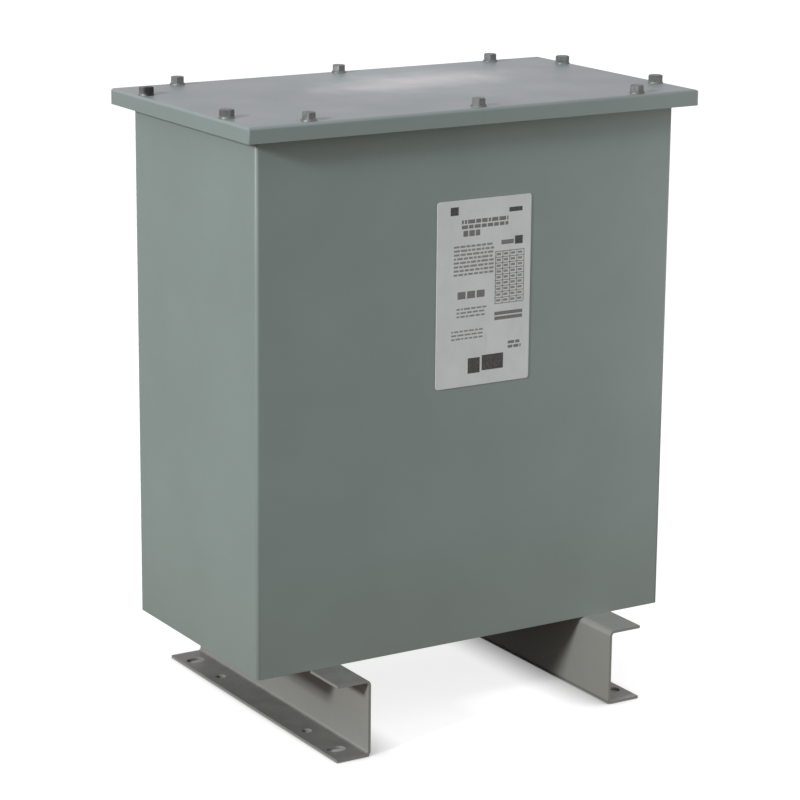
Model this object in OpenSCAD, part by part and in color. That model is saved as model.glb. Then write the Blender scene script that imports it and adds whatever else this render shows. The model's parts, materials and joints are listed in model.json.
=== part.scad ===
// Encapsulated distribution transformer: a three-phase core and its coils set in resin inside a
// folded steel case on two channel feet. A bolted lid closes the wiring space over the resin.
// The origin is on the ground under the middle of the case, X to the right and Y to the back.

/* [Case] */
// Width of the case across its front
body_w = 495; // [486:1:600]
// Depth of the case from front to back
body_d = 257; // [240:1:330]
// Height of the case's walls
case_h = 558; // [530:1:700]
// Thickness of the case's and the lid's sheet
sheet_t = 2; // [1.2:0.1:2.5]
// Outside radius of the sheet's bends
bend_r = 3.5; // [3:0.1:5]
// Thickness of the bottom pan's sheet
pan_t = 3; // [2:0.5:5]
// Height of the rim turned up round the bottom pan
pan_rim_h = 20; // [12:1:40]
// Diameter of the two conduit knockouts in the back
knockout_d = 44; // [22:1:50]
// Distance between the two knockouts
knockout_pitch = 240; // [80:1:300]

/* [Lid] */
// How far the lid reaches past the case's sides
lid_over_x = 18; // [17:0.5:24]
// How far the lid reaches past the case's front and back
lid_over_y = 20; // [17:0.5:26]
// Depth of the lid's turned-down lip
lip_h = 16.5; // [16:0.5:24]
// Thickness of the gasket under the lid
gasket_t = 2; // [1:0.5:4]
// Gap between the case's flange and the inside of the lip
lip_gap = 1.5; // [0.5:0.1:2]
// Distance from the case's sides to the outer bolts along the front and the back
bolt_end_x = 53.5; // [32:0.5:90]
// Distance from the case's front and back to the bolts along the sides
bolt_end_y = 42.5; // [33:0.5:75]

/* [Lid bolts] */
// Thread diameter of the lid bolts
bolt_d = 8; // [5:0.5:8]
// Width across the flats of the lid bolts' heads and nuts
bolt_flats = 13; // [11:0.5:14]
// Diameter of the flange under each head
bolt_flange_d = 16.5; // [16.5:0.5:18]
// Height of the flange and the head together
bolt_head_h = 8.5; // [5:0.5:10]
// Height of each nut
bolt_nut_h = 6.5; // [5:0.5:8]

/* [Feet] */
// Height of the foot channels
foot_h = 82; // [70:1:120]
// How far the feet reach past the case's front and back
foot_over = 53.5; // [46:0.5:70]
// Width of the channels' flanges
foot_flange_w = 39; // [38:0.5:50]
// Distance from the case's sides to the feet's webs
foot_inset = 100.5; // [88:0.5:122]
// Thickness of the foot channels
foot_t = 3; // [2.5:0.1:5]
// Outside radius of the channels' bends
foot_bend_r = 6; // [5.5:0.5:8]
// Width of the anchor slots
slot_w = 14; // [10:0.5:16]
// Length of the anchor slots
slot_l = 20; // [17:0.5:22]
// Distance from an anchor slot's middle to the foot's end
slot_end = 28; // [16:0.5:42]
// Diameter of the round hole inboard of each slot
foot_hole_d = 11; // [6:0.5:14]
// Distance from an anchor slot to the round hole inboard of it
foot_hole_step = 60; // [34:1:94]
// Distance from an anchor slot's middle to the flange's edge
slot_edge = 15; // [14:0.5:16]
// Thread diameter of the bolts that hold the feet
foot_bolt_d = 10; // [6:0.5:12]
// Distance from the case's front and back to the nearest foot bolts
foot_bolt_inset = 32.5; // [24:0.5:68]

/* [Nameplate] */
// Width of the plate
plate_w = 113; // [60:1:160]
// Height of the plate
plate_h = 193; // [80:1:240]
// Thickness of the plate
plate_t = 0.8; // [0.4:0.1:1.5]
// Distance of the plate's middle to the right of the case's middle
plate_x = 15; // [-100:1:100]
// Distance from the top of the walls down to the plate
plate_drop = 91; // [40:1:200]

/* [Core] */
// Height of each yoke
yoke_h = 66; // [58:1:70]
// Height of the blocks under the core
support_h = 20; // [12:1:30]
// Thickness of the clamp bars
clamp_t = 6; // [4:0.5:8]
// Height of the clamp bars
clamp_h = 50; // [30:1:56]
// Thread diameter of the clamp bolts
clamp_bolt_d = 8; // [6:0.5:10]

/* [Coils] */
// Space between each limb and its former
limb_gap = 0.5; // [0.3:0.1:0.9]
// Wall of the formers
former_t = 3; // [2:0.5:5]
// Thickness of the low-voltage windings
lv_t = 11; // [8:0.5:13]
// Thickness of the barrier between the windings
barrier_t = 3; // [2:0.5:4]
// Thickness of the high-voltage windings
hv_t = 14; // [10:0.5:16]
// Space between neighbouring phases
phase_gap = 9; // [4:0.5:12]
// Space between the outer windings and the case's sides
coil_side_gap = 43; // [38:0.5:50]
// Space between the windings and the case's front and back
coil_face_gap = 50; // [48:0.5:60]
// Space between each winding's ends and the yokes
coil_end_gap = 8; // [4:0.5:14]
// Depth of resin over the core
resin_cover = 35; // [25:1:45]

/* [Terminals] */
// Height of the wiring space, from the resin to the top of the walls
wiring_h = 138; // [110:1:180]
// Height of the terminal board above the resin
board_h = 70; // [62:1:75]
// Thickness of the terminal board
board_t = 6; // [4:0.5:10]
// Thread diameter of the terminal studs
stud_d = 8; // [6:0.5:8]
// Thickness of the lead straps and delta links
strap_t = 2; // [1:0.5:3]
// Width of the low-voltage bus bars
bar_w = 28; // [20:1:32]
// Thickness of the low-voltage bus bars
bar_t = 5; // [3:0.5:6]
// Height of the low-voltage bus bars above the resin
bar_h = 60; // [40:1:75]

/* [Hidden] */
$fn = 48;

// Colours
paint = [0.55, 0.59, 0.57];
foot_paint = [0.52, 0.54, 0.52];
zinc = [0.50, 0.52, 0.51];
plate_white = [0.86, 0.87, 0.87];
gasket_black = [0.08, 0.08, 0.08];
resin_black = [0.12, 0.12, 0.13];
core_steel = [0.33, 0.34, 0.36];
clamp_grey = [0.28, 0.30, 0.31];
copper = [0.72, 0.42, 0.26];
paper_tan = [0.78, 0.68, 0.50];
board_red = [0.52, 0.20, 0.15];
brass = [0.75, 0.62, 0.32];

// Small clearances
thread_gap = 0.1;
bolt_hole_gap = 0.5;
seam_gap = 0.5;
eps = 1;

// Case and lid
bend_in = bend_r - sheet_t;
top_z = foot_h + case_h;
inner_w = body_w - 2 * sheet_t;
inner_d = body_d - 2 * sheet_t;
lid_w = body_w + 2 * lid_over_x;
lid_d = body_d + 2 * lid_over_y;
lid_top = top_z + gasket_t + sheet_t;
bolt_pitch_x = body_w / 2 - bolt_end_x;
bolt_pitch_y = body_d - 2 * bolt_end_y;
flange_x = lid_over_x - sheet_t - lip_gap;
flange_y = lid_over_y - sheet_t - lip_gap;
bolt_line_x = body_w / 2 + (lid_over_x - sheet_t) / 2;
bolt_line_y = body_d / 2 + (lid_over_y - sheet_t) / 2;
bolt_hole_d = bolt_d + 2 * bolt_hole_gap;
bolt_tip = 1;
bolt_len = 2 * sheet_t + gasket_t + bolt_nut_h + bolt_tip;
bolt_flange_h = 2;
lid_corner_r = 2;
pan_top = foot_h + pan_t;
pan_bend_r = pan_t + bend_in;
knockout_groove = 1;
knockout_depth = 0.8;

// Feet
foot_len = body_d + 2 * foot_over;
foot_span = body_w - 2 * foot_inset;
foot_outer = foot_span / 2 + foot_flange_w;
slot_x = foot_outer - slot_edge;
slot_pitch = foot_len - 2 * slot_end;
foot_hole_pitch = slot_pitch - 2 * foot_hole_step;
foot_bolt_rows = 4;
foot_bolt_pitch = (body_d - 2 * foot_bolt_inset) / (foot_bolt_rows - 1);
foot_bolt_x = foot_span / 2 + (foot_flange_w + foot_t) / 2;
foot_bolt_flats = 1.6 * foot_bolt_d;
foot_bolt_head_h = 0.64 * foot_bolt_d;
foot_nut_h = 0.8 * foot_bolt_d;
foot_bolt_tip = 1.5;
foot_bolt_len = pan_t + foot_t + foot_nut_h + foot_bolt_tip;

// Nameplate
plate_corner_r = 3;

// Core
coil_build = limb_gap + former_t + lv_t + barrier_t + hv_t;
window_w = 2 * coil_build + phase_gap;
limb_w = (inner_w - 2 * (coil_side_gap + coil_build + window_w)) / 3;
stack_d = inner_d - 2 * (coil_face_gap + coil_build);
phase_pitch = limb_w + window_w;
phases = [-phase_pitch, 0, phase_pitch];
core_w = 2 * phase_pitch + limb_w;
core_bottom = pan_top + support_h;
core_top = top_z - wiring_h - resin_cover;
window_bottom = core_bottom + yoke_h;
window_top = core_top - yoke_h;
coil_bottom = window_bottom + coil_end_gap;
coil_top = window_top - coil_end_gap;
support_w = 40;
support_side = 8;
support_to_bolts = 46.5;
support_x = foot_bolt_x - support_to_bolts;
clamp_face = stack_d / 2 + clamp_t;
clamp_flats = 1.6 * clamp_bolt_d;
clamp_nut_h = 0.8 * clamp_bolt_d;
clamp_bolt_tip = 2;
clamp_bolt_len = 2 * clamp_face + clamp_nut_h + clamp_bolt_tip;

// Coils, as the distance from a limb's side to each layer's outside
former_out = limb_gap + former_t;
lv_out = former_out + lv_t;
barrier_out = lv_out + barrier_t;
hv_out = barrier_out + hv_t;
former_corner_r = 1;

// Resin
resin_top = top_z - wiring_h;
resin_hold = 20;

// Terminal board and its studs
board_back = stack_d / 2 + barrier_out;
board_end = 20;
board_w = core_w + 2 * board_end;
strap_w = 15;
strap_off = 30;
stud_z = resin_top + board_h / 2;
stud_flats = 1.625 * stud_d;
stud_nut_h = 0.8 * stud_d;
stud_front = 22;
stud_rear = 3;
link_h = 14;
link_rise = 24;

// Low-voltage bus bars, seated on the windings' front ends
bar_y = -(stack_d / 2 + lv_out);
bar_hole_d = 11;
bar_x = limb_w / 2 - bar_w / 2 + former_out;
neutral_foot_h = 10;
neutral_gap = 6;
neutral_x = phase_pitch + limb_w / 2 + hv_out + neutral_gap;

// Earth stud on the inside of the back
ground_d = 8;
ground_flats = 13;
ground_nut_h = 6.5;
ground_len = 28;
ground_x = board_w / 2 - board_end;
ground_rise = 25;
ground_z = resin_top + ground_rise;
ground_plate_h = 3;
ground_lug_gap = 3;

// Rectangle with round corners, centred
module rounded_plan(w, d, r) {
    square([w - 2 * r, d], center = true);
    square([w, d - 2 * r], center = true);
    for (x = [-1, 1], y = [-1, 1])
        translate([x * (w / 2 - r), y * (d / 2 - r)])
            circle(r);
}

// Rectangle centred on X whose two front corners are round
module front_rounded_plan(w, front, rear, r) {
    translate([-w / 2, front + r])
        square([w, rear - front - r]);
    translate([-w / 2 + r, front])
        square([w - 2 * r, rear - front]);
    for (x = [-1, 1])
        translate([x * (w / 2 - r), front + r])
            circle(r);
}

// Upright rectangle whose two top corners are round, hanging down from the origin
module round_topped(w, h, r) {
    translate([-w / 2, -h])
        square([w, h - r]);
    translate([-w / 2 + r, -h])
        square([w - 2 * r, h]);
    for (x = [-1, 1])
        translate([x * (w / 2 - r), -r])
            circle(r);
}

// Block hanging down from the origin, with round top edges and round upright corners
module soft_block(w, d, h, edge_r, corner_r) {
    intersection() {
        translate([0, 0, -h])
            linear_extrude(h)
                rounded_plan(w, d, corner_r);
        rotate([90, 0, 0])
            linear_extrude(d, center = true)
                round_topped(w, h, edge_r);
        rotate([90, 0, 90])
            linear_extrude(w, center = true)
                round_topped(d, h, edge_r);
    }
}

// Sheet tray, open below, folded from a sheet of thickness t with its top face at the origin
module tray(w, d, h, t, edge_r, corner_r) {
    difference() {
        soft_block(w, d, h, edge_r, corner_r);
        translate([0, 0, -t])
            soft_block(w - 2 * t, d - 2 * t, h, edge_r - t, corner_r);
    }
}

// Section of a quarter-round bend in a sheet of thickness t
module bend_section(r, t) {
    intersection() {
        difference() {
            circle(r);
            circle(r - t);
        }
        square(r);
    }
}

// Flange that leaves the top of a wall towards -Y: its bend, and a flat strip that may be longer.
// The wall's outer face is at y = 0 and the flange's top at z = 0.
module wall_flange(bend_len, bend_shift, flat_len, width) {
    translate([bend_shift, 0, 0])
        rotate([90, 0, -90])
            linear_extrude(bend_len, center = true)
                translate([bend_in, -bend_r])
                    mirror([1, 0])
                        bend_section(bend_r, sheet_t);
    translate([-flat_len / 2, -width, -sheet_t])
        cube([flat_len, width - bend_in, sheet_t]);
}

// Hexagonal bar end with its top corners chamfered
module hex_head(flats, h) {
    top_r = 0.475 * flats;
    intersection() {
        cylinder(h = h, d = flats / cos(30), $fn = 6);
        cylinder(h = h, r1 = top_r + h * sqrt(3), r2 = top_r);
    }
}

// Nut standing on the origin
module hex_nut(d, flats, h) {
    difference() {
        hex_head(flats, h);
        translate([0, 0, -eps])
            cylinder(h = h + 2 * eps, d = d + 2 * thread_gap);
    }
}

// Plain hexagon bolt with its head on the origin and its thread pointing down
module hex_bolt(d, length, flats, head_h) {
    hex_head(flats, head_h);
    translate([0, 0, -length])
        cylinder(h = length, d = d);
}

// Flange-headed bolt, seated on the origin with its thread pointing down
module flange_bolt() {
    cylinder(h = bolt_flange_h, d1 = bolt_flange_d, d2 = bolt_flange_d - bolt_flange_h);
    translate([0, 0, bolt_flange_h])
        hex_head(bolt_flats, bolt_head_h - bolt_flange_h);
    translate([0, 0, -bolt_len])
        cylinder(h = bolt_len, d = bolt_d);
}

// Places its child at every lid bolt, with the hexagon's flats along the edge of the lid
module at_lid_bolts() {
    for (x = [-1, 0, 1], y = [-1, 1])
        translate([x * bolt_pitch_x, y * bolt_line_y])
            children();
    for (x = [-1, 1], y = [-1, 1])
        translate([x * bolt_line_x, y * bolt_pitch_y / 2])
            rotate([0, 0, 90])
                children();
}

// Holes for the lid bolts, through whatever lies near the top of the case
module lid_bolt_holes() {
    translate([0, 0, top_z - bend_r])
        at_lid_bolts()
            cylinder(h = lid_top - top_z + 2 * bend_r, d = bolt_hole_d);
}

module case_wrap() {
    straight_y = body_d - bend_r - sheet_t;
    side_flange_len = body_d + 2 * (bend_in - seam_gap);
    color(paint)
        difference() {
            union() {
                difference() {
                    // The front and both sides are one sheet, bent at the front corners
                    translate([0, 0, foot_h])
                        linear_extrude(case_h)
                            difference() {
                                front_rounded_plan(body_w, -body_d / 2, body_d / 2 - sheet_t, bend_r);
                                front_rounded_plan(inner_w, -inner_d / 2, body_d / 2, bend_in);
                            }
                    // Each straight wall stops where its flange's bend begins
                    translate([-body_w / 2 + bend_r, -body_d / 2 - eps, top_z - bend_r])
                        cube([body_w - 2 * bend_r, bend_r + eps, bend_r + eps]);
                    translate([-body_w / 2 - eps, -body_d / 2 + bend_r, top_z - bend_r])
                        cube([body_w + 2 * eps, body_d, bend_r + eps]);
                }
                translate([0, -body_d / 2, top_z])
                    wall_flange(body_w - 2 * bend_r, 0, body_w + 2 * flange_x, flange_y);
                for (side = [0, 1])
                    mirror([side, 0, 0])
                        translate([body_w / 2, 0, top_z])
                            rotate([0, 0, 90])
                                wall_flange(straight_y, bend_in / 2, side_flange_len, flange_x);
            }
            lid_bolt_holes();
        }
}

module back_panel() {
    color(paint)
        difference() {
            union() {
                translate([-body_w / 2, body_d / 2 - sheet_t, foot_h])
                    cube([body_w, sheet_t, case_h - bend_r]);
                translate([0, body_d / 2, top_z])
                    rotate([0, 0, 180])
                        wall_flange(body_w - 2 * bend_r, 0, body_w + 2 * flange_x, flange_y);
            }
            lid_bolt_holes();
            // Scored rings of the conduit knockouts, opening into the wiring space
            for (x = [-1, 1])
                translate([x * knockout_pitch / 2, body_d / 2 + eps, (resin_top + top_z) / 2])
                    rotate([90, 0, 0])
                        difference() {
                            cylinder(h = knockout_depth + eps, d = knockout_d);
                            translate([0, 0, -eps])
                                cylinder(h = knockout_depth + 3 * eps, d = knockout_d - 2 * knockout_groove);
                        }
        }
}

module bottom_pan() {
    color(paint)
        difference() {
            translate([0, 0, foot_h])
                mirror([0, 0, 1])
                    tray(inner_w, inner_d, pan_rim_h, pan_t, pan_bend_r, bend_in);
            at_foot_bolts()
                cylinder(h = 4 * pan_t, d = foot_bolt_d + 2 * bolt_hole_gap, center = true);
        }
}

module lid() {
    color(paint)
        difference() {
            translate([0, 0, lid_top])
                tray(lid_w, lid_d, lip_h, sheet_t, bend_r, lid_corner_r);
            lid_bolt_holes();
        }
}

module lid_gasket() {
    color(gasket_black)
        difference() {
            translate([0, 0, top_z])
                linear_extrude(gasket_t)
                    difference() {
                        square([body_w + 2 * flange_x, body_d + 2 * flange_y], center = true);
                        square([body_w + 2 * bend_in, body_d + 2 * bend_in], center = true);
                    }
            lid_bolt_holes();
        }
}

module lid_bolts() {
    color(zinc)
        translate([0, 0, lid_top])
            at_lid_bolts()
                flange_bolt();
}

module lid_nuts() {
    color(zinc)
        translate([0, 0, top_z - sheet_t])
            mirror([0, 0, 1])
                at_lid_bolts()
                    hex_nut(bolt_d, bolt_flats, bolt_nut_h);
}

// Slot along X, centred, through a foot's lower flange
module anchor_slot() {
    straight = slot_l - slot_w;
    translate([0, 0, -eps]) {
        for (x = [-1, 1])
            translate([x * straight / 2, 0, 0])
                cylinder(h = foot_t + 2 * eps, d = slot_w);
        translate([-straight / 2, -slot_w / 2, 0])
            cube([straight, slot_w, foot_t + 2 * eps]);
    }
}

// Section of a foot channel, with its web's back at x = 0 and its flanges towards +X
module channel_section() {
    bend_x = foot_bend_r;
    for (z = [foot_bend_r, foot_h - foot_bend_r])
        translate([bend_x, z])
            rotate(z < foot_h / 2 ? 180 : 90)
                bend_section(foot_bend_r, foot_t);
    translate([0, foot_bend_r])
        square([foot_t, foot_h - 2 * foot_bend_r]);
    for (z = [0, foot_h - foot_t])
        translate([bend_x, z])
            square([foot_flange_w - bend_x, foot_t]);
}

// Right-hand foot: a channel that opens outwards
module foot_channel() {
    difference() {
        translate([foot_span / 2, 0, 0])
            rotate([90, 0, 0])
                linear_extrude(foot_len, center = true)
                    channel_section();
        for (y = [-1, 1]) {
            translate([slot_x, y * slot_pitch / 2, 0])
                anchor_slot();
            translate([slot_x, y * foot_hole_pitch / 2, -eps])
                cylinder(h = foot_t + 2 * eps, d = foot_hole_d);
        }
        at_foot_bolts()
            cylinder(h = 4 * foot_t, d = foot_bolt_d + 2 * bolt_hole_gap, center = true);
    }
}

module foot_left() {
    color(foot_paint)
        mirror([1, 0, 0])
            foot_channel();
}

module foot_right() {
    color(foot_paint)
        foot_channel();
}

// Places its child at every foot bolt, on the underside of the bottom pan
module at_foot_bolts() {
    for (x = [-1, 1], n = [0:foot_bolt_rows - 1])
        translate([x * foot_bolt_x, -body_d / 2 + foot_bolt_inset + n * foot_bolt_pitch, foot_h])
            children();
}

module foot_bolts() {
    color(zinc)
        translate([0, 0, pan_t])
            at_foot_bolts()
                hex_bolt(foot_bolt_d, foot_bolt_len, foot_bolt_flats, foot_bolt_head_h);
}

module foot_nuts() {
    color(zinc)
        translate([0, 0, -foot_t])
            at_foot_bolts()
                mirror([0, 0, 1])
                    hex_nut(foot_bolt_d, foot_bolt_flats, foot_nut_h);
}

module nameplate() {
    color(plate_white)
        translate([plate_x, -body_d / 2, top_z - plate_drop - plate_h / 2])
            rotate([90, 0, 0])
                linear_extrude(plate_t)
                    rounded_plan(plate_w, plate_h, plate_corner_r);
}

// Lower yoke and the three limbs, without their bolt holes
module core_e_shape() {
    translate([-core_w / 2, -stack_d / 2, core_bottom])
        cube([core_w, stack_d, yoke_h]);
    for (x = phases)
        translate([x - limb_w / 2, -stack_d / 2, core_bottom])
            cube([limb_w, stack_d, window_top - core_bottom]);
}

module core_i_shape() {
    translate([-core_w / 2, -stack_d / 2, window_top])
        cube([core_w, stack_d, yoke_h]);
}

// Places its child at every clamp bolt, on the front clamp's face with +Z towards the front
module at_clamp_bolts() {
    for (x = phases, z = [core_bottom + yoke_h / 2, core_top - yoke_h / 2])
        translate([x, -clamp_face, z])
            rotate([90, 0, 0])
                children();
}

module clamp_bolt_holes() {
    at_clamp_bolts()
        translate([0, 0, -2 * clamp_face - eps])
            cylinder(h = 2 * clamp_face + 2 * eps, d = clamp_bolt_d + 2 * bolt_hole_gap);
}

module core_e_stack() {
    color(core_steel)
        difference() {
            core_e_shape();
            clamp_bolt_holes();
        }
}

module core_i_yoke() {
    color(core_steel)
        difference() {
            core_i_shape();
            clamp_bolt_holes();
        }
}

module core_supports() {
    color(paper_tan)
        for (x = [-1, 1])
            translate([x * support_x - support_w / 2, -stack_d / 2 - support_side, pan_top])
                cube([support_w, stack_d + 2 * support_side, support_h]);
}

// Clamp bar against the front or rear face of a yoke whose middle is at height z
module clamp_shape(side, z) {
    translate([-core_w / 2, side > 0 ? stack_d / 2 : -clamp_face, z - clamp_h / 2])
        cube([core_w, clamp_t, clamp_h]);
}

module clamp_bar(side, z) {
    color(clamp_grey)
        difference() {
            clamp_shape(side, z);
            clamp_bolt_holes();
        }
}

module clamp_upper_front() {
    clamp_bar(-1, core_top - yoke_h / 2);
}

module clamp_upper_rear() {
    clamp_bar(1, core_top - yoke_h / 2);
}

module clamp_lower_front() {
    clamp_bar(-1, core_bottom + yoke_h / 2);
}

module clamp_lower_rear() {
    clamp_bar(1, core_bottom + yoke_h / 2);
}

module clamp_bolts() {
    color(zinc)
        at_clamp_bolts()
            hex_bolt(clamp_bolt_d, clamp_bolt_len, clamp_flats, clamp_nut_h);
}

// Places its child at every clamp nut, on the rear clamp's face
module at_clamp_nuts() {
    at_clamp_bolts()
        translate([0, 0, -2 * clamp_face])
            mirror([0, 0, 1])
                children();
}

module clamp_nuts() {
    color(zinc)
        at_clamp_nuts()
            hex_nut(clamp_bolt_d, clamp_flats, clamp_nut_h);
}

// Block round a limb, its sides a distance out from the limb's
module limb_block(out, bottom, top) {
    translate([0, 0, bottom])
        linear_extrude(top - bottom)
            rounded_plan(limb_w + 2 * out, stack_d + 2 * out, former_corner_r + out - limb_gap);
}

// Closed ring round a limb, between two distances from its sides
module limb_ring(inside, outside, bottom, top) {
    difference() {
        limb_block(outside, bottom, top);
        limb_block(inside, bottom - eps, top + eps);
    }
}

module coil_former(phase) {
    color(paper_tan)
        translate([phases[phase], 0, 0])
            limb_ring(limb_gap, former_out, window_bottom, window_top);
}

module lv_coil(phase) {
    color(copper)
        translate([phases[phase], 0, 0])
            limb_ring(former_out, lv_out, coil_bottom, coil_top);
}

module winding_barrier(phase) {
    color(paper_tan)
        translate([phases[phase], 0, 0])
            limb_ring(lv_out, barrier_out, coil_bottom, coil_top);
}

module hv_coil(phase) {
    color(copper)
        translate([phases[phase], 0, 0])
            limb_ring(barrier_out, hv_out, coil_bottom, coil_top);
}

// Board that stands in the resin behind the rear of the yoke
module terminal_board() {
    color(board_red)
        difference() {
            translate([-board_w / 2, board_back - board_t, resin_top - resin_hold])
                cube([board_w, board_t, board_h + resin_hold]);
            at_studs()
                cylinder(h = 3 * board_t, d = stud_d + 2 * thread_gap, center = true);
        }
}

// Places its child at every terminal stud, on the board's front face with +Z towards the front
module at_studs() {
    for (x = phases, side = [-1, 1])
        translate([x + side * strap_off, board_back - board_t, stud_z])
            rotate([90, 0, 0])
                children();
}

module terminal_studs() {
    rear = board_t + strap_t + stud_nut_h + stud_rear;
    color(brass)
        at_studs()
            translate([0, 0, -rear])
                cylinder(h = rear + strap_t + stud_nut_h + stud_front, d = stud_d);
}

// One nut holds each link on the front, and one each lead strap on the rear
module terminal_nuts() {
    color(brass)
        at_studs() {
            translate([0, 0, strap_t])
                hex_nut(stud_d, stud_flats, stud_nut_h);
            translate([0, 0, -board_t - strap_t])
                mirror([0, 0, 1])
                    hex_nut(stud_d, stud_flats, stud_nut_h);
        }
}

// Straps from the high-voltage windings' rear ends up to the studs
module hv_strap_shapes() {
    for (x = phases, side = [-1, 1])
        translate([x + side * strap_off - strap_w / 2, board_back, coil_top])
            cube([strap_w, strap_t, stud_z + strap_w / 2 - coil_top]);
}

module hv_lead_straps() {
    color(copper)
        difference() {
            hv_strap_shapes();
            at_studs()
                cylinder(h = 3 * (board_t + strap_t), d = stud_d + 2 * thread_gap, center = true);
        }
}

// Links on the board's front: each joins one phase's end to the next one's start, and the
// third passes above the others
module delta_links() {
    front = board_back - board_t - strap_t;
    first = -phase_pitch - strap_off;
    color(brass)
        difference() {
            union() {
                for (x = [-phase_pitch + strap_off, strap_off])
                    translate([x - link_h / 2, front, stud_z - link_h / 2])
                        cube([phase_pitch - 2 * strap_off + link_h, strap_t, link_h]);
                translate([first - link_h / 2, front, stud_z + link_rise - link_h / 2])
                    cube([-2 * first + link_h, strap_t, link_h]);
                for (x = [first, -first])
                    translate([x - link_h / 2, front, stud_z - link_h / 2])
                        cube([link_h, strap_t, link_rise + link_h]);
            }
            at_studs()
                cylinder(h = 3 * board_t, d = stud_d + 2 * thread_gap, center = true);
        }
}

// Hole for a cable lug near the top of a bus bar whose side starts at x
module lug_hole(x) {
    translate([x + bar_w / 2, 0, resin_top + bar_h - bar_w / 2])
        rotate([90, 0, 0])
            cylinder(h = body_d, d = bar_hole_d);
}

module lv_bar_shapes() {
    for (x = phases)
        translate([x + bar_x, bar_y, coil_top])
            cube([bar_w, bar_t, resin_top + bar_h - coil_top]);
}

module lv_bus_bars() {
    color(copper)
        difference() {
            lv_bar_shapes();
            for (x = phases)
                lug_hole(x + bar_x);
        }
}

// The star point: a bar under the low-voltage windings' front ends, which rises at the right
module neutral_bar_shape() {
    translate([-core_w / 2, bar_y, coil_bottom - neutral_foot_h])
        cube([core_w / 2 + neutral_x + bar_w, bar_t, neutral_foot_h]);
    translate([neutral_x, bar_y, coil_bottom - neutral_foot_h])
        cube([bar_w, bar_t, resin_top + bar_h - coil_bottom + neutral_foot_h]);
}

module neutral_bus_bar() {
    color(copper)
        difference() {
            neutral_bar_shape();
            lug_hole(neutral_x);
        }
}

module ground_stud() {
    color(brass)
        translate([ground_x, body_d / 2 - sheet_t, ground_z])
            rotate([90, 0, 0]) {
                cylinder(h = ground_len, d = ground_d);
                cylinder(h = ground_plate_h, d = 2 * ground_d);
            }
}

module ground_nuts() {
    color(brass)
        translate([ground_x, body_d / 2 - sheet_t, ground_z])
            rotate([90, 0, 0])
                for (n = [0, 1])
                    translate([0, 0, ground_plate_h + n * (ground_nut_h + ground_lug_gap)])
                        hex_nut(ground_d, ground_flats, ground_nut_h);
}

// Resin cast round everything below the wiring space
module potting_block() {
    color(resin_black)
        difference() {
            union() {
                // The lower end fills the pan, and the rest the case above the pan's rim
                translate([0, 0, pan_top])
                    mirror([0, 0, 1])
                        soft_block(inner_w - 2 * pan_t, inner_d - 2 * pan_t, pan_rim_h, bend_in, bend_in);
                translate([0, 0, foot_h + pan_rim_h])
                    linear_extrude(resin_top - foot_h - pan_rim_h)
                        front_rounded_plan(inner_w, -inner_d / 2, inner_d / 2, bend_in);
            }
            foot_bolts();
            core_supports();
            core_e_shape();
            core_i_shape();
            for (side = [-1, 1], z = [core_bottom + yoke_h / 2, core_top - yoke_h / 2])
                clamp_shape(side, z);
            clamp_bolts();
            at_clamp_nuts()
                hex_head(clamp_flats, clamp_nut_h);
            for (x = phases)
                translate([x, 0, 0]) {
                    limb_block(hv_out, coil_bottom, coil_top);
                    limb_block(former_out, window_bottom, window_top);
                }
            terminal_board();
            hv_strap_shapes();
            lv_bar_shapes();
            neutral_bar_shape();
        }
}

case_wrap();
back_panel();
bottom_pan();
lid();
lid_gasket();
lid_bolts();
lid_nuts();
foot_left();
foot_right();
foot_bolts();
foot_nuts();
nameplate();
potting_block();
core_e_stack();
core_i_yoke();
core_supports();
clamp_upper_front();
clamp_upper_rear();
clamp_lower_front();
clamp_lower_rear();
clamp_bolts();
clamp_nuts();
coil_former(0);  // coil_former_a
coil_former(1);  // coil_former_b
coil_former(2);  // coil_former_c
lv_coil(0);  // lv_coil_a
lv_coil(1);  // lv_coil_b
lv_coil(2);  // lv_coil_c
winding_barrier(0);  // winding_barrier_a
winding_barrier(1);  // winding_barrier_b
winding_barrier(2);  // winding_barrier_c
hv_coil(0);  // hv_coil_a
hv_coil(1);  // hv_coil_b
hv_coil(2);  // hv_coil_c
terminal_board();
terminal_studs();
terminal_nuts();
hv_lead_straps();
delta_links();
lv_bus_bars();
neutral_bus_bar();
ground_stud();
ground_nuts();
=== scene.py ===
"""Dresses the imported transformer: materials, the rating plate's print, weld seams, studio and camera."""
import json
import math

import bmesh
import bpy
from mathutils import Matrix, Vector, noise


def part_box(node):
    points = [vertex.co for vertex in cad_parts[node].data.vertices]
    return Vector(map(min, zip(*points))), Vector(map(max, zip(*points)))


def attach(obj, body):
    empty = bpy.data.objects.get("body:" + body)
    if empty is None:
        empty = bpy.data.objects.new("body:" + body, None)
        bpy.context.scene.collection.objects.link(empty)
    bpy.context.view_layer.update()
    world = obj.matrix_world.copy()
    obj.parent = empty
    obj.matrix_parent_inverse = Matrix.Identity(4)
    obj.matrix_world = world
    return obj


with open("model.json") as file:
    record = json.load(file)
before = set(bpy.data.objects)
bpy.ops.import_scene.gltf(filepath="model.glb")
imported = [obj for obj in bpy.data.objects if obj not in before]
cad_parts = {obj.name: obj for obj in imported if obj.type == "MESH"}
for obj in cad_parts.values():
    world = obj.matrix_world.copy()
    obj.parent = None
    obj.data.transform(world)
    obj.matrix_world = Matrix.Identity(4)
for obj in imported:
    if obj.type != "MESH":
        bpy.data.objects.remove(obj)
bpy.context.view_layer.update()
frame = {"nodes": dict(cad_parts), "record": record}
nodes = frame["nodes"]

MM = 0.001


# Shader graphs

# The range that most of a noise texture lies in
NOISE_LOW = 0.3
NOISE_HIGH = 0.7

# The upward share of a face's normal where settled dirt, and the painted shade on the left foot's flanges,
# begins, and where it lies in full
STEEP = 0.3
LEVEL = 0.95


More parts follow.
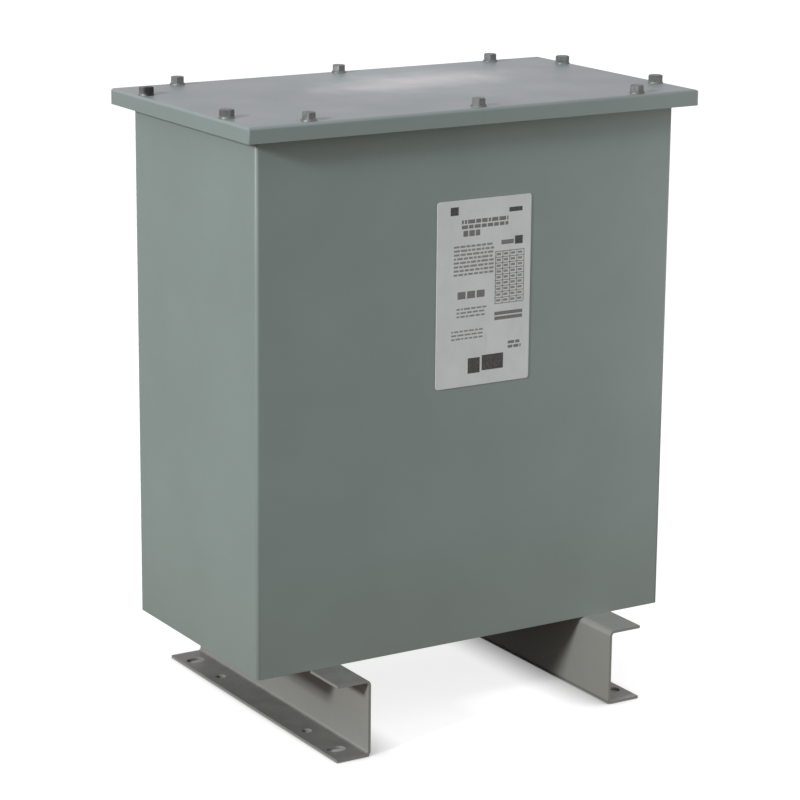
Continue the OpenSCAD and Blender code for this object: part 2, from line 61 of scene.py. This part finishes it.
class Graph:
    """One material's node tree, with short calls for the nodes that the materials share."""

    def __init__(self, name):
        self.material = bpy.data.materials.new(name)
        self.material.use_nodes = True
        self.tree = self.material.node_tree
        self.shader = self.tree.nodes["Principled BSDF"]
        self.place = self.add("ShaderNodeTexCoord").outputs["Object"]

    def add(self, kind, **settings):
        node = self.tree.nodes.new(kind)
        for key, value in settings.items():
            setattr(node, key, value)
        return node

    def put(self, socket, value):
        """Links a socket to an output, or sets it to a value."""
        if isinstance(value, bpy.types.NodeSocket):
            self.tree.links.new(value, socket)
        else:
            socket.default_value = value

    def maths(self, operation, a, b=0.0, c=0.0):
        node = self.add("ShaderNodeMath", operation=operation)
        for socket, value in zip(node.inputs, (a, b, c)):
            self.put(socket, value)
        return node.outputs[0]

    def product(self, first, *factors):
        for factor in factors:
            first = self.maths("MULTIPLY", first, factor)
        return first

    def noise(self, scale, detail=3.0, roughness=0.5, stretch=(1, 1, 1)):
        """Noise with so many features to the metre."""
        mapping = self.add("ShaderNodeMapping")
        self.put(mapping.inputs["Vector"], self.place)
        mapping.inputs["Scale"].default_value = stretch
        node = self.add("ShaderNodeTexNoise")
        self.put(node.inputs["Vector"], mapping.outputs[0])
        node.inputs["Scale"].default_value = scale
        node.inputs["Detail"].default_value = detail
        node.inputs["Roughness"].default_value = roughness
        return node.outputs["Fac"]

    def between(self, value, low, high, start=0.0, end=1.0, curve="LINEAR"):
        """Carries a value's range from low..high over to start..end, and clamps it."""
        node = self.add("ShaderNodeMapRange", interpolation_type=curve)
        for socket, number in zip(node.inputs, (value, low, high, start, end)):
            self.put(socket, number)
        return node.outputs[0]

    def varied(self, scale, start=0.0, end=1.0, detail=3.0, roughness=0.5):
        """Noise that fills the range start..end."""
        return self.between(self.noise(scale, detail, roughness), NOISE_LOW, NOISE_HIGH, start, end)

    def mix(self, share, first, second):
        node = self.add("ShaderNodeMix", data_type="RGBA")
        self.put(node.inputs["Factor"], share)
        for key, colour in (("A", first), ("B", second)):
            socket = [s for s in node.inputs if s.name == key and s.type == "RGBA"][0]
            self.put(socket, colour if isinstance(colour, bpy.types.NodeSocket) else (*colour, 1.0))
        return [s for s in node.outputs if s.type == "RGBA"][0]

    def along(self, axis):
        """The place along one axis, in metres."""
        node = self.add("ShaderNodeSeparateXYZ")
        self.put(node.inputs[0], self.place)
        return node.outputs[axis]

    def facing_up(self):
        """1 on faces that look up, 0 on upright ones."""
        node = self.add("ShaderNodeSeparateXYZ")
        self.put(node.inputs[0], self.add("ShaderNodeNewGeometry").outputs["Normal"])
        return self.between(node.outputs["Z"], STEEP, LEVEL)

    def bump(self, height, depth, strength, below=None):
        """Relief so many metres deep, on top of another relief."""
        node = self.add("ShaderNodeBump")
        node.inputs["Strength"].default_value = strength
        node.inputs["Distance"].default_value = depth
        self.put(node.inputs["Height"], height)
        if below is not None:
            self.put(node.inputs["Normal"], below)
        return node.outputs[0]

    def set(self, **inputs):
        """Feeds the shader's inputs by plain names and gives the finished material."""
        names = {
            "colour": "Base Color",
            "roughness": "Roughness",
            "metallic": "Metallic",
            "normal": "Normal",
        }
        for key, value in inputs.items():
            self.put(self.shader.inputs[names[key]], value)
        return self.material


# Materials

CASE_COLOUR = (0.250, 0.314, 0.303)
FOOT_COLOUR = (0.271, 0.276, 0.258)
BOLT_COLOUR = (0.22, 0.24, 0.23)
PLATE_COLOUR = (0.71, 0.762, 0.772)
DUST = (0.42, 0.42, 0.42)
# Pale dust on the lid that also serves as a painted sheen
DRIED_DUST_SHEEN = (0.62, 0.62, 0.62)
SPLASHED_SOIL = (0.22, 0.20, 0.16)
# Painted shade on the left foot's upward flange faces
FLANGE_SHADE = (0.055, 0.057, 0.052)
BLACK = (0.010, 0.010, 0.010)

# Heights between which the splashes' film on the case grows to its full share
SPLASH_TOP = 0.20
SPLASH_FULL = 0.09
SPLASH_SHARE = 0.30

# The pale patch on the lid, dried dust that also serves as a painted sheen; its fade and raggedness are in
# units of its reach
SHEEN_DUST_CENTRE = (0.036, 0.042, 0.644)
SHEEN_DUST_REACH = (0.090, 0.042, 0.010)
SHEEN_DUST_TURN = math.radians(12)
SHEEN_DUST_SHARE = 0.68
SHEEN_DUST_FADE = 1.8
SHEEN_DUST_RAGGED = 0.42

# The places across, right of the left foot, between which its painted shade grows to its full share
FLANGE_SHADE_START = -0.10
FLANGE_SHADE_FULL = -0.12
FLANGE_SHADE_SHARE = 0.58

# The black mark on one lid bolt; it fades out at so many times its radius
MARK_CENTRE = (-0.2530, 0.0800, 0.6495)
MARK_RADIUS = 6.0 * MM
MARK_FADE = 1.7
MARK_SHARE = 0.88


def shade(colour, factor):
    return tuple(factor * channel for channel in colour)


def enamel(name, colour, gloss, dust, films=()):
    """Sprayed enamel on folded sheet: a fine orange peel, slight mottling, dust on what faces up.

    Each of the films adds dirt, painted sheen or painted shade to the base colour.
    """
    g = Graph(name)
    pale = shade(colour, 1.03)
    deep = shade(colour, 0.965)
    mottling = g.varied(9.0, detail=5.0, roughness=0.6)
    base = g.mix(mottling, deep, pale)
    specks = g.between(g.noise(900.0, detail=2.0), 0.62, 0.75, end=0.25)
    base = g.mix(specks, base, deep)
    settled = g.product(g.facing_up(), g.between(g.noise(28.0, detail=6.0), 0.35, 0.75, end=dust))
    base = g.mix(settled, base, DUST)
    for film in films:
        base = film(g, base)
    rough = g.varied(16.0, gloss - 0.04, gloss + 0.05, detail=4.0)
    dusty = g.maths("ADD", rough, g.product(settled, 0.3))
    sheet = g.bump(g.noise(7.0, detail=1.0), depth=0.5 * MM, strength=0.35)
    peel = g.bump(g.noise(420.0, detail=2.0), depth=0.03 * MM, strength=0.5, below=sheet)
    return g.set(colour=base, roughness=dusty, normal=peel)


def ground_film(g, base):
    """A thin warm film that splashes leave on the lowest part of the case."""
    low = g.between(g.along("Z"), SPLASH_TOP, SPLASH_FULL)
    patchy = g.between(g.noise(14.0, detail=5.0), 0.25, 0.75, start=0.55)
    return g.mix(g.product(low, patchy, SPLASH_SHARE), base, SPLASHED_SOIL)


def lid_dust_and_sheen(g, base):
    """Pale dust dried on the middle of the lid, in a soft patch that is longest across the lid; it also
    serves as a painted sheen, standing in for a highlight band.
    """
    patch = g.add("ShaderNodeMapping", vector_type="TEXTURE")
    g.put(patch.inputs["Vector"], g.place)
    patch.inputs["Location"].default_value = SHEEN_DUST_CENTRE
    patch.inputs["Rotation"].default_value = (0, 0, SHEEN_DUST_TURN)
    patch.inputs["Scale"].default_value = SHEEN_DUST_REACH
    away = g.add("ShaderNodeVectorMath", operation="LENGTH")
    g.put(away.inputs[0], patch.outputs[0])
    wander = g.varied(14.0, -SHEEN_DUST_RAGGED, SHEEN_DUST_RAGGED, detail=6.0, roughness=0.6)
    ragged = g.maths("ADD", away.outputs["Value"], wander)
    share = g.between(ragged, 0.0, SHEEN_DUST_FADE, SHEEN_DUST_SHARE, 0.0, curve="SMOOTHSTEP")
    # The patch lightens the lid: dried dust and a painted sheen
    return g.mix(share, base, DRIED_DUST_SHEEN)


def left_flange_painted_shade(g, base):
    """Painted shade, patchy in tone, on the upward faces of the left foot's two flanges."""
    left = g.between(g.along("X"), FLANGE_SHADE_START, FLANGE_SHADE_FULL)
    patchy = g.varied(45.0, start=0.6, detail=5.0)
    # Darkens the left foot's upward faces: painted shade
    return g.mix(g.product(left, patchy, g.facing_up(), FLANGE_SHADE_SHARE), base, FLANGE_SHADE)


def plated(name, colour):
    """Dull plated steel: soft handling marks, a finely turned surface and one black mark."""
    g = Graph(name)
    handled = g.between(g.noise(160.0, detail=5.0), 0.35, 0.7)
    base = g.mix(handled, colour, shade(colour, 0.62))
    away = g.add("ShaderNodeVectorMath", operation="DISTANCE")
    g.put(away.inputs[0], g.place)
    away.inputs[1].default_value = MARK_CENTRE
    mark = g.between(
        away.outputs["Value"], MARK_RADIUS, MARK_FADE * MARK_RADIUS, MARK_SHARE, 0.0, curve="SMOOTHSTEP"
    )
    base = g.mix(mark, base, BLACK)
    rough = g.varied(300.0, 0.42, 0.62)
    grain = g.bump(g.noise(1400.0, detail=2.0), depth=0.02 * MM, strength=0.6)
    return g.set(colour=base, roughness=rough, metallic=0.55, normal=grain)


def printed_face(name, colour):
    """White face of the rating plate: almost smooth, a little uneven in tone and scuffed."""
    g = Graph(name)
    base = g.mix(g.varied(35.0, detail=5.0), colour, shade(colour, 0.90))
    scuffs = g.between(g.noise(90.0, detail=6.0, stretch=(1, 1, 0.25)), 0.62, 0.8, end=0.35)
    base = g.mix(scuffs, base, shade(colour, 0.72))
    relief = g.bump(g.noise(500.0), depth=0.01 * MM, strength=0.4)
    return g.set(colour=base, roughness=g.varied(60.0, 0.38, 0.50), normal=relief)


def ink(name, tone):
    """Screen-printed grey ink, slightly uneven."""
    g = Graph(name)
    thin = g.between(g.noise(500.0, detail=4.0), 0.35, 0.75)
    worn = tone + 0.06
    base = g.mix(thin, (tone, tone, tone), (worn, worn, worn))
    relief = g.bump(g.noise(900.0), depth=0.01 * MM, strength=0.3)
    return g.set(colour=base, roughness=g.varied(300.0, 0.45, 0.6), normal=relief)


def granular(name, colour, scale, relief, rough):
    """Cast resin or sponge rubber: fine grains or cells."""
    g = Graph(name)
    grains = g.noise(scale, detail=5.0, roughness=0.65)
    base = g.mix(g.between(grains, 0.35, 0.7), colour, shade(colour, 1.7))
    spread = g.varied(20.0, rough - 0.06, rough + 0.06)
    return g.set(colour=base, roughness=spread, normal=g.bump(grains, depth=relief, strength=0.6))


def layered(name, first, second, pitch, axis, metallic, rough):
    """Laminations, windings or pressboard plies: fine lines at a pitch along an axis."""
    g = Graph(name)
    wave = g.maths("SINE", g.product(g.along(axis), 2 * math.pi / pitch))
    line = g.between(wave, -1.0, 1.0)
    base = g.mix(g.product(line, 0.7), first, second)
    base = g.mix(g.between(g.noise(45.0, detail=5.0), 0.4, 0.75, end=0.4), base, second)
    spread = g.varied(120.0, rough - 0.07, rough + 0.07)
    relief = g.bump(line, depth=0.1 * pitch, strength=0.5)
    return g.set(colour=base, roughness=spread, metallic=metallic, normal=relief)


def drawn(name, colour, rough, stretch):
    """Bare drawn metal with fine lines along it and some tarnish."""
    g = Graph(name)
    scratches = g.noise(700.0, detail=3.0, stretch=stretch)
    tarnish = g.between(g.noise(40.0, detail=6.0), 0.4, 0.8, end=0.55)
    base = g.mix(tarnish, colour, shade(colour, 0.5))
    spread = g.between(scratches, NOISE_LOW, NOISE_HIGH, rough - 0.06, rough + 0.10)
    relief = g.bump(scratches, depth=0.02 * MM, strength=0.5)
    return g.set(colour=base, roughness=spread, metallic=1.0, normal=relief)


paint = enamel("case_enamel", CASE_COLOUR, gloss=0.40, dust=0.12, films=[ground_film, lid_dust_and_sheen])
materials = {
    "case_paint": paint,
    "foot_paint": enamel("foot_enamel", FOOT_COLOUR, gloss=0.47, dust=0.12, films=[left_flange_painted_shade]),
    "plated_fasteners": plated("plated_steel", BOLT_COLOUR),
    "plate_face": printed_face("plate_white", PLATE_COLOUR),
    "gasket": granular("sponge_rubber", (0.015, 0.015, 0.016), scale=900.0, relief=0.15 * MM, rough=0.85),
    "resin": granular("cast_resin", (0.028, 0.028, 0.030), scale=500.0, relief=0.2 * MM, rough=0.55),
    "core_steel": layered(
        "laminations", (0.11, 0.12, 0.14), (0.03, 0.035, 0.045),
        pitch=0.7 * MM, axis="Y", metallic=0.6, rough=0.45,
    ),
    "clamp_steel": enamel("clamp_primer", (0.07, 0.08, 0.085), gloss=0.55, dust=0.1),
    "insulation": layered(
        "pressboard", (0.56, 0.42, 0.22), (0.44, 0.31, 0.15),
        pitch=0.5 * MM, axis="Z", metallic=0.0, rough=0.8,
    ),
    "winding_copper": layered(
        "enamelled_copper", (0.52, 0.19, 0.08), (0.24, 0.07, 0.03),
        pitch=2.2 * MM, axis="Z", metallic=0.7, rough=0.38,
    ),
    "board_laminate": granular(
        "red_laminate", (0.26, 0.045, 0.028), scale=260.0, relief=0.05 * MM, rough=0.42
    ),
    "terminal_brass": drawn("drawn_brass", (0.70, 0.50, 0.17), rough=0.30, stretch=(1, 0.1, 1)),
}

for row in frame["record"]["subparts"]:
    mesh = nodes[row["node"]].data
    mesh.materials.clear()
    mesh.materials.append(materials[row["material_slot"]])


# Softened edges on the sheet metal and the fasteners

WELD_GAP = 0.01 * MM
COPLANAR = math.radians(0.5)
SHARP = math.radians(32)
EDGE_WIDTHS = {
    "case_wrap": 0.5 * MM,
    "back_panel": 0.5 * MM,
    "bottom_pan": 0.5 * MM,
    "lid": 0.6 * MM,
    "foot_left": 0.6 * MM,
    "foot_right": 0.6 * MM,
    "nameplate": 0.2 * MM,
    "lid_bolts": 0.25 * MM,
    "foot_nuts": 0.25 * MM,
    "lid_nuts": 0.25 * MM,
}


def soften(node, width):
    """Rounds a node's sharp edges by a width, without touching its mesh.

    Doubled points and the seams inside flat faces are merged first, so that flat faces shade evenly.
    """
    modifiers = nodes[node].modifiers
    weld = modifiers.new("weld", "WELD")
    weld.merge_threshold = WELD_GAP
    flat = modifiers.new("flat", "DECIMATE")
    flat.decimate_type = "DISSOLVE"
    flat.angle_limit = COPLANAR
    bevel = modifiers.new("bevel", "BEVEL")
    bevel.width = width
    bevel.segments = 2
    bevel.limit_method = "ANGLE"
    bevel.angle_limit = SHARP
    bevel.harden_normals = True


for node, width in EDGE_WIDTHS.items():
    soften(node, width)


# New pieces

def add_object(name, data):
    made = bpy.data.objects.new(name, data)
    bpy.context.scene.collection.objects.link(made)
    return made


def piece(name, build, material):
    """A mesh piece that rides on the case and takes the material it is given."""
    mesh = bpy.data.meshes.new(name)
    shape = bmesh.new()
    build(shape)
    bmesh.ops.recalc_face_normals(shape, faces=shape.faces)
    shape.to_mesh(mesh)
    shape.free()
    mesh.materials.append(material)
    made = add_object(name, mesh)
    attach(made, "root")
    return made


def add_block(shape, low, high):
    middle = [(a + b) / 2 for a, b in zip(low, high)]
    size = [b - a for a, b in zip(low, high)]
    bmesh.ops.create_cube(shape, matrix=Matrix.Translation(middle) @ Matrix.Diagonal((*size, 1)))


# The rating plate's print is plain bars and fields that stand for it, each given in mm from the
# plate's left and top edges as left, top, width, height
plate_low, plate_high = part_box("nameplate")
INK_T = 0.06 * MM

# A word's usual length, how much it varies, and the gap after it, in mm
WORD_LENGTH = 5.5
WORD_SPREAD = 5
WORD_GAP = 1.3

# The noise that varies the words: its steps to the mm along and down the plate, and its depth
NOISE_ALONG = 0.37
NOISE_DOWN = 0.53
NOISE_DEPTH = 0.5

# The bar in a table's cell: left, top, width and height as shares of the cell
CELL_BAR = (0.2, 0.35, 0.6, 0.4)


def words(left, top, width, height):
    """A row of short bars of uneven length, like the words of a line."""
    bars = []
    at = left
    while at < left + width:
        uneven = noise.noise(Vector((NOISE_ALONG * at, NOISE_DOWN * top, NOISE_DEPTH)))
        length = min(WORD_LENGTH + WORD_SPREAD * uneven, left + width - at)
        if length > WORD_GAP:
            bars.append((at, top, length, height))
        at += length + WORD_GAP
    return bars


def lines(left, top, width, height, pitch, count):
    return [bar for n in range(count) for bar in words(left, top + n * pitch, width, height)]


def table(left, top, cell_w, cell_h, columns, rows, rule):
    """Ruled lines of a table and a short bar in each cell."""
    uprights = [(left + n * cell_w, top, rule, rows * cell_h) for n in range(columns + 1)]
    levels = [(left, top + n * cell_h, columns * cell_w, rule) for n in range(rows + 1)]
    bar_left, bar_top, bar_w, bar_h = CELL_BAR
    bars = []
    for column in range(columns):
        for row in range(rows):
            x = left + (column + bar_left) * cell_w
            y = top + (row + bar_top) * cell_h
            bars.append((x, y, bar_w * cell_w, bar_h * cell_h))
    return uprights + levels + bars


DARK_PRINT = [
    (15.5, 6.5, 9.5, 8.5), (86, 12, 16, 4.6), (93.5, 42, 9.5, 8.5),
    (38.5, 164, 14.5, 16), (55.5, 162.5, 26, 16),
]
MID_PRINT = (
    words(29, 20.5, 56, 4.0) + words(29, 26, 56, 3.6) + words(31, 31.5, 20, 6.0)
    + [(25 + 11.5 * n, 94, 9.5, 7.5) for n in range(3)]
    + [(77, 45, 15, 4.5), (70, 119, 34, 3.6), (70, 124, 34, 3.6)]
    + lines(87, 151, 16, 3.0, pitch=4.6, count=2)
)
GREY_PRINT = (
    lines(20, 46.5, 48, 2.1, pitch=4.1, count=8)
    + lines(24, 111, 36, 1.8, pitch=3.9, count=3)
    + lines(18, 134, 38, 1.7, pitch=3.9, count=3)
    + table(70, 56, cell_w=8.6, cell_h=6.0, columns=4, rows=9, rule=0.9)
)
PRINT_TONES = {
    "plate_print_dark": (DARK_PRINT, 0.045),
    "plate_print_mid": (MID_PRINT, 0.17),
    "plate_print_grey": (GREY_PRINT, 0.25),
}


def add_fields(fields):
    def build(shape):
        for left, top, width, height in fields:
            x = plate_low.x + left * MM
            z = plate_high.z - top * MM
            low = (x, plate_low.y - INK_T, z - height * MM)
            high = (x + width * MM, plate_low.y + INK_T, z)
            add_block(shape, low, high)
    return build


for name, (fields, tone) in PRINT_TONES.items():
    piece(name, add_fields(fields), ink(f"{name}_ink", tone))


# Painted weld seams where the back panel meets the case's sides

CASE_HALF_W = 247.5 * MM
SEAM_R = 1.2 * MM
SEAM_STEP = 3 * MM
SEAM_SIDES = 7
SEAM_INSET = 0.6 * MM
SEAM_FOOT = 83 * MM
SEAM_TOP = 634 * MM
SEAM_Y = 127 * MM

# How much a bead's radius varies, and the noise's steps to the metre across and up it
SEAM_UNEVEN = 0.16
ACROSS_STEPS = 40
UP_STEPS = 300


def add_seam(shape, x, y, z0, z1):
    """A welded bead along an upright edge, a little uneven, with its ripples."""
    count = int((z1 - z0) / SEAM_STEP)
    rings = []
    for n in range(count + 1):
        z = z0 + (z1 - z0) * n / count
        ripple = noise.noise(Vector((x * ACROSS_STEPS, y * ACROSS_STEPS, z * UP_STEPS)))
        radius = SEAM_R * (1 + SEAM_UNEVEN * ripple)
        ring = []
        for k in range(SEAM_SIDES):
            angle = 2 * math.pi * k / SEAM_SIDES
            ring.append(shape.verts.new((x + radius * math.cos(angle), y + radius * math.sin(angle), z)))
        rings.append(ring)
    for lower, upper in zip(rings, rings[1:]):
        for k in range(SEAM_SIDES):
            other = (k + 1) % SEAM_SIDES
            shape.faces.new((lower[k], lower[other], upper[other], upper[k]))
    shape.faces.new(rings[0])
    shape.faces.new(reversed(rings[-1]))


def build_seams(shape):
    for side in (-1, 1):
        add_seam(shape, side * (CASE_HALF_W - SEAM_INSET), SEAM_Y, SEAM_FOOT, SEAM_TOP)


seams = piece("back_corner_welds", build_seams, paint)
for face in seams.data.polygons:
    face.use_smooth = True


# Floor

FLOOR_HALF = 30.0
FLOOR_WHITE = 0.45
FLOOR_GLOW = 0.82
FLOOR_BOUNCE = (0.19, 0.14, 0.105)
# The floor's glow is darkened near the object by ambient occlusion, a painted contact shadow: its reach
# and depth
CONTACT_SHADE_REACH = 50 * MM
CONTACT_SHADE_DEPTH = 1.6
FOOT_MARGIN = 0.5 * MM


def under_feet(g):
    """1 on the floor under the two feet, 0 on the rest."""
    foot_low, foot_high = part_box("foot_right")
    middle = (foot_low + foot_high) / 2
    half = (foot_high - foot_low) / 2
    across = g.maths("COMPARE", g.maths("ABSOLUTE", g.along("X")), middle.x, half.x - FOOT_MARGIN)
    along = g.maths("COMPARE", g.along("Y"), middle.y, half.y - FOOT_MARGIN)
    return g.product(across, along)


def stage_floor(name):
    """White to the camera, with the object's shadow kept faint; a dark warm grey to every other ray.

    The floor under the feet, which shows through their slots, has no glow of its own.
    """
    g = Graph(name)
    g.tree.nodes.remove(g.shader)
    # The glow fades near the object by ambient occlusion: a painted contact shadow on the floor
    painted_contact_shade = g.add("ShaderNodeAmbientOcclusion")
    painted_contact_shade.inputs["Distance"].default_value = CONTACT_SHADE_REACH
    glow = g.maths("SUBTRACT", FLOOR_GLOW, g.product(under_feet(g), FLOOR_GLOW))
    light = g.add("ShaderNodeEmission")
    g.put(light.inputs["Strength"], g.product(g.maths("POWER", painted_contact_shade.outputs["AO"], CONTACT_SHADE_DEPTH), glow))
    white = g.add("ShaderNodeBsdfDiffuse")
    g.put(white.inputs["Color"], (FLOOR_WHITE, FLOOR_WHITE, FLOOR_WHITE, 1))
    both = g.add("ShaderNodeAddShader")
    g.put(both.inputs[0], white.outputs[0])
    g.put(both.inputs[1], light.outputs[0])
    plain = g.add("ShaderNodeBsdfDiffuse")
    g.put(plain.inputs["Color"], (*FLOOR_BOUNCE, 1))
    choice = g.add("ShaderNodeMixShader")
    g.put(choice.inputs[0], g.add("ShaderNodeLightPath").outputs["Is Camera Ray"])
    g.put(choice.inputs[1], plain.outputs[0])
    g.put(choice.inputs[2], both.outputs[0])
    g.put(g.tree.nodes["Material Output"].inputs["Surface"], choice.outputs[0])
    return g.material


floor_mesh = bpy.data.meshes.new("floor")
floor_shape = bmesh.new()
bmesh.ops.create_grid(floor_shape, x_segments=1, y_segments=1, size=FLOOR_HALF)
floor_shape.to_mesh(floor_mesh)
floor_shape.free()
floor_mesh.materials.append(stage_floor("floor_white"))
floor = add_object("floor", floor_mesh)


# Sky and lamps

SKY_LIGHT = 0.52
SKY_GLOSS = 0.87
STUDIO_TINT = (1.0, 0.86, 0.95)


def light_sky():
    """An even sky: a soft light on the object, brighter and tinted in its gloss, white to the camera."""
    world = bpy.data.worlds.new("studio")
    bpy.context.scene.world = world
    world.use_nodes = True
    tree = world.node_tree
    sky = tree.nodes["Background"]
    ray = tree.nodes.new("ShaderNodeLightPath")
    tint = tree.nodes.new("ShaderNodeMixRGB")
    tint.inputs["Color1"].default_value = (1, 1, 1, 1)
    tint.inputs["Color2"].default_value = (*STUDIO_TINT, 1)
    level = tree.nodes.new("ShaderNodeMapRange")
    level.inputs["To Min"].default_value = SKY_LIGHT
    level.inputs["To Max"].default_value = SKY_GLOSS
    brightest = tree.nodes.new("ShaderNodeMath")
    brightest.operation = "MAXIMUM"
    for output, socket in (
        (ray.outputs["Is Glossy Ray"], tint.inputs["Fac"]),
        (tint.outputs[0], sky.inputs["Color"]),
        (ray.outputs["Is Glossy Ray"], level.inputs["Value"]),
        (level.outputs[0], brightest.inputs[0]),
        (ray.outputs["Is Camera Ray"], brightest.inputs[1]),
        (brightest.outputs[0], sky.inputs["Strength"]),
    ):
        tree.links.new(output, socket)


def lamp(name, kind, place, target, power, **settings):
    """A lamp that shines from a place at a target and doesn't show itself."""
    light = bpy.data.lights.new(name, kind)
    light.energy = power
    for key, value in settings.items():
        setattr(light, key, value)
    made = add_object(name, light)
    made.location = place
    made.visible_camera = False
    made.rotation_mode = "QUATERNION"
    made.rotation_quaternion = (Vector(target) - Vector(place)).to_track_quat("-Z", "Y")


light_sky()
lamp(
    "key", "AREA", (-6.6, -1.67, 3.05), (0, 0, 0.3), power=365.0,
    shape="RECTANGLE", size=0.95, size_y=0.95,
)
lamp(
    "right_fill", "AREA", (1.0, -0.55, 0.28), (0.2, -0.13, 0.25), power=3.2,
    shape="RECTANGLE", size=0.5, size_y=0.6,
)
lamp(
    "lid_pool", "SPOT", (0.05, 0.06, 1.75), (0.05, 0.07, 0.644), power=8.0,
    spot_size=math.radians(18), spot_blend=1.0, shadow_soft_size=0.05,
)


# The photo's camera, solved from corners and edges of the case, the lid and the feet

CAMERA_PLACE = (-1.53287, -2.48146, 1.06204)
YAW = math.radians(31.64)
PITCH = math.radians(14.42)
ROLL = math.radians(0.52)
FOCAL_PX = 2836.5
FRAME_PX = 800
SENSOR_MM = 36.0
CLIP_NEAR = 0.1
CLIP_FAR = 100.0

view = Vector((math.sin(YAW) * math.cos(PITCH), math.cos(YAW) * math.cos(PITCH), -math.sin(PITCH)))
level_right = Vector((math.cos(YAW), -math.sin(YAW), 0.0))
level_up = level_right.cross(view)
right = math.cos(ROLL) * level_right + math.sin(ROLL) * level_up
up = math.cos(ROLL) * level_up - math.sin(ROLL) * level_right

lens = bpy.data.cameras.new("camera")
lens.sensor_width = SENSOR_MM
lens.lens = FOCAL_PX * SENSOR_MM / FRAME_PX
lens.clip_start = CLIP_NEAR
lens.clip_end = CLIP_FAR
camera = add_object("camera", lens)
turn = Matrix((right, up, -view)).transposed().to_4x4()
camera.matrix_world = Matrix.Translation(CAMERA_PLACE) @ turn
bpy.context.scene.camera = camera

bpy.context.scene.view_settings.view_transform = "Standard"
